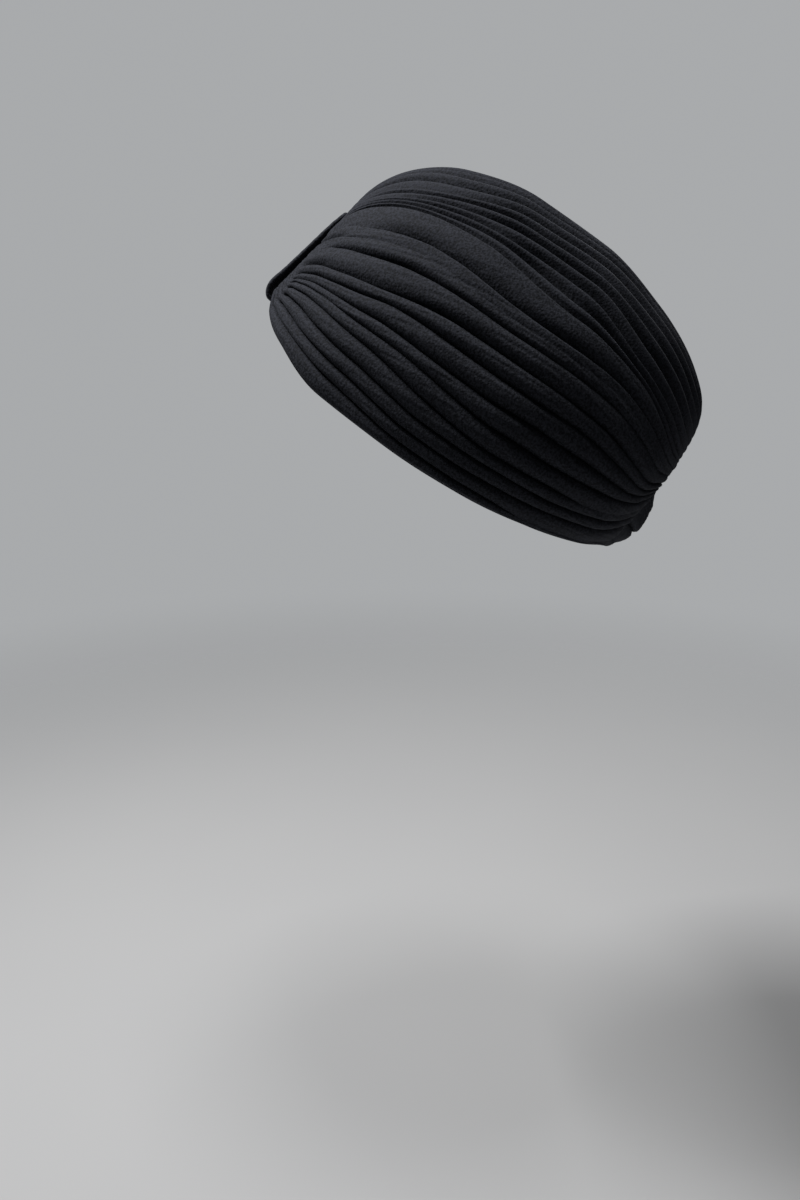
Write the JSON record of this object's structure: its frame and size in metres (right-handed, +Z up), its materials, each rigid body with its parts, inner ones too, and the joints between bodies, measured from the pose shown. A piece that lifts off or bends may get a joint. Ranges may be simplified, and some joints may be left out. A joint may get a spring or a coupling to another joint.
{
  "type": "turban headwrap",
  "caption": "Hollow pleated cloth turban, its folds fanning from a flat band at the brow round the head to a gathered seam at the nape, open below for the head.",
  "frame": {"origin": "middle of the head opening, where the wrap sits on a head", "axes": "+Z up as worn, -Y towards the face, +X towards the wearer's left"},
  "size_m": [0.1698, 0.2087, 0.1782],
  "materials": {
    "band_cloth": "matte charcoal black crepe jersey, doubled",
    "side_cloth": "matte charcoal black crepe jersey, pleated",
    "crown_cloth": "matte charcoal black crepe jersey, finely pleated"
  },
  "bodies": {
    "root": {"front_band": "band_cloth", "side_wrap_left": "side_cloth", "side_wrap_right": "side_cloth", "crown_panel": "crown_cloth"}
  },
  "joints": []
}
